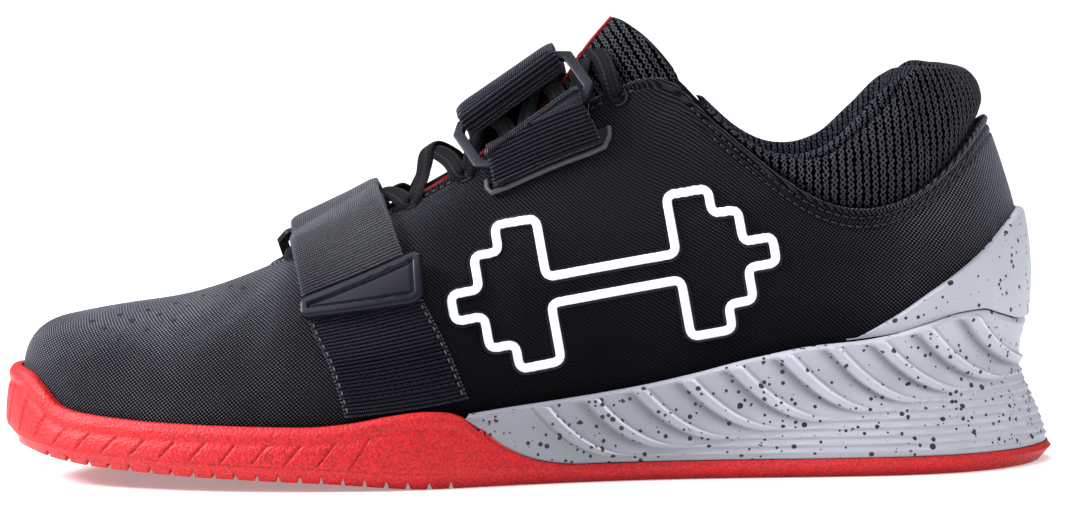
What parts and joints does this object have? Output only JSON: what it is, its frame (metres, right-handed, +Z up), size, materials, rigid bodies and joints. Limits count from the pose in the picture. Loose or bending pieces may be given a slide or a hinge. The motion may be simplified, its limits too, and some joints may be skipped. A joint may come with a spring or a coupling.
{
  "type": "weightlifting shoe",
  "caption": "Left weightlifting shoe with a raised rigid heel, a flat red rubber outsole, a laced black textile upper and two fold-back straps.",
  "frame": {"origin": "centre of the bounding box's bottom, under the middle of the sole", "axes": "+Z up; the toe points to -X and the heel to +X; the lateral (outer) side of the foot faces -Y"},
  "size_m": [0.2916, 0.1043, 0.1236],
  "materials": {
    "upper_textile": "fine black woven textile, matt",
    "padded_mesh": "coarse black spacer mesh",
    "webbing": "black ribbed webbing",
    "moulded_black": "dark moulded plastic, satin",
    "red_rubber": "red rubber, satin with a fine grain",
    "speckled_grey": "pale grey moulded plastic with dark speckles",
    "lace_cord": "flat black lace with pale flecks",
    "lining": "black textile lining"
  },
  "bodies": {
    "root": {"outsole": "red_rubber", "midsole": "speckled_grey", "heel_counter": "speckled_grey", "insole": "lining", "upper": "upper_textile", "tongue": "padded_mesh", "collar": "padded_mesh", "front_strap": "webbing", "front_strap_tab": "moulded_black", "front_ring": "moulded_black", "front_ring_loop": "webbing", "front_slot_frame": "moulded_black", "instep_strap": "webbing", "instep_strap_tab": "moulded_black", "instep_ring": "moulded_black", "instep_ring_loop": "webbing", "instep_slot_frame": "moulded_black", "laces": "lace_cord"}
  },
  "joints": []
}
